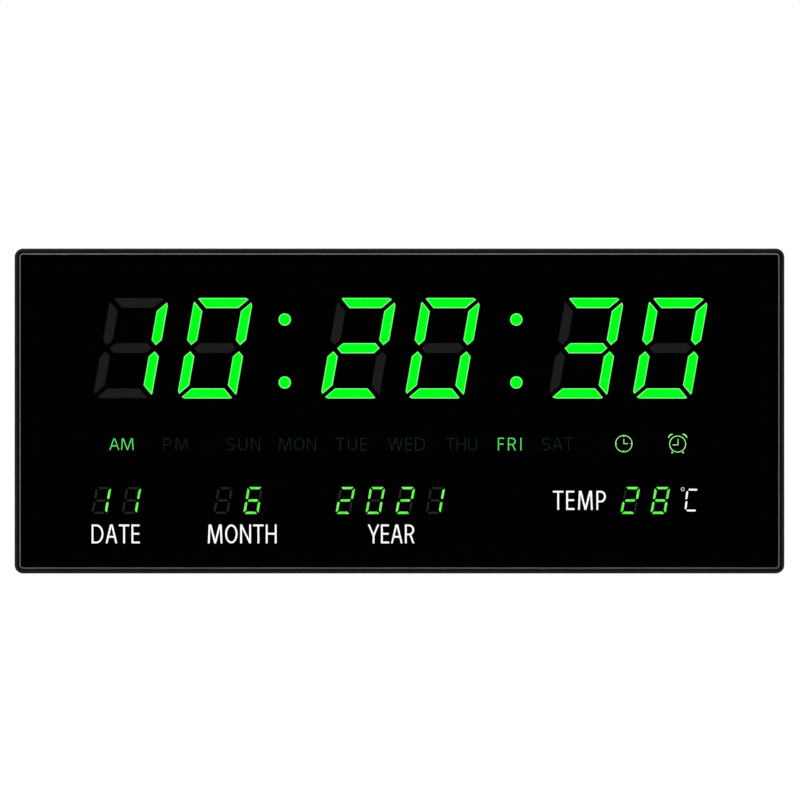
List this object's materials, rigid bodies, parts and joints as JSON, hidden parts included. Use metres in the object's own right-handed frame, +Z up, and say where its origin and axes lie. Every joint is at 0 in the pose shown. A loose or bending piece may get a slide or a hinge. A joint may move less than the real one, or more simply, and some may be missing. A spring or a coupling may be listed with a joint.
{
  "type": "digital wall clock",
  "caption": "Wide flat wall clock with green seven-segment time, date and temperature behind a smoked panel; keyholes, setting buttons and fold-out legs on the back.",
  "frame": {"origin": "middle of the back, on the plane that touches the wall", "axes": "+X to the right as the face is read, +Y out of the back into the wall, +Z up"},
  "size_m": [0.36, 0.028, 0.152],
  "materials": {
    "casing_plastic": "fine moulded texture",
    "smoked_acrylic": "polished, dark tint",
    "foam_tape": "foam",
    "light_box_plastic": "matte black",
    "legend_film": "printed film",
    "time_diffuser": "lit diffuser",
    "small_diffuser": "lit diffuser",
    "circuit_board": "solder mask",
    "led_lens": "clear resin",
    "chip_plastic": "moulded",
    "component_metal": "bright",
    "resistor_ceramic": "matte",
    "sensor_resin": "dipped resin",
    "jack_plastic": "moulded",
    "screw_steel": "zinc plated",
    "contact_metal": "nickel plated",
    "button_plastic": "moulded",
    "plunger_plastic": "moulded"
  },
  "bodies": {
    "casing": {"board_screws": "screw_steel", "buzzer": "chip_plastic", "capacitors": "component_metal", "clock_crystal": "component_metal", "coin_cell": "component_metal", "controller_chip": "chip_plastic", "date_tens_segments": "small_diffuser", "date_units_segments": "small_diffuser", "dc_jack": "jack_plastic", "dc_jack_pin": "component_metal", "digit_transistors": "chip_plastic", "display_board": "circuit_board", "driver_chips": "chip_plastic", "front_frame": "casing_plastic", "front_panel": "smoked_acrylic", "hour_tens_segments": "time_diffuser", "hour_units_segments": "time_diffuser", "led_chips": "led_lens", "left_colon_dots": "time_diffuser", "left_leg_pin": "component_metal", "legend_film": "legend_film", "light_box": "light_box_plastic", "minute_tens_segments": "time_diffuser", "minute_units_segments": "time_diffuser", "month_tens_segments": "small_diffuser", "month_units_segments": "small_diffuser", "negative_contact": "contact_metal", "panel_tape": "foam_tape", "positive_contact": "contact_metal", "rear_cover": "casing_plastic", "rear_cover_screws": "screw_steel", "resistors": "resistor_ceramic", "right_colon_dots": "time_diffuser", "right_leg_pin": "component_metal", "second_tens_segments": "time_diffuser", "second_units_segments": "time_diffuser", "switch_housings": "chip_plastic", "temperature_sensor": "sensor_resin", "temperature_tens_segments": "small_diffuser", "temperature_units_segments": "small_diffuser", "year_hundreds_segments": "small_diffuser", "year_tens_segments": "small_diffuser", "year_thousands_segments": "small_diffuser", "year_units_segments": "small_diffuser"},
    "left_leg": {"left_leg": "casing_plastic"},
    "right_leg": {"right_leg": "casing_plastic"},
    "cell_door": {"cell_door": "casing_plastic"},
    "set_button": {"set_button": "button_plastic", "set_plunger": "plunger_plastic"},
    "up_button": {"up_button": "button_plastic", "up_plunger": "plunger_plastic"},
    "down_button": {"down_button": "button_plastic", "down_plunger": "plunger_plastic"},
    "alarm_button": {"alarm_button": "button_plastic", "alarm_plunger": "plunger_plastic"}
  },
  "joints": [
    {"name": "left_leg_hinge", "type": "hinge", "parent": "casing", "child": "left_leg", "pos_m": [-0.125, -0.0026, -0.056], "axis": [-1, 0, 0], "range_deg": [0, 105]},
    {"name": "right_leg_hinge", "type": "hinge", "parent": "casing", "child": "right_leg", "pos_m": [0.125, -0.0026, -0.056], "axis": [-1, 0, 0], "range_deg": [0, 105]},
    {"name": "cell_door_hinge", "type": "hinge", "parent": "casing", "child": "cell_door", "pos_m": [-0.045, -0.0011, -0.0355], "axis": [-1, 0, 0], "range_deg": [0, 95]},
    {"name": "set_button_press", "type": "slide", "parent": "casing", "child": "set_button", "axis": [0, -1, 0], "range_m": [0, 0.0008], "stiffness_N_per_m": 800},
    {"name": "up_button_press", "type": "slide", "parent": "casing", "child": "up_button", "axis": [0, -1, 0], "range_m": [0, 0.0008], "stiffness_N_per_m": 800},
    {"name": "down_button_press", "type": "slide", "parent": "casing", "child": "down_button", "axis": [0, -1, 0], "range_m": [0, 0.0008], "stiffness_N_per_m": 800},
    {"name": "alarm_button_press", "type": "slide", "parent": "casing", "child": "alarm_button", "axis": [0, -1, 0], "range_m": [0, 0.0008], "stiffness_N_per_m": 800}
  ]
}
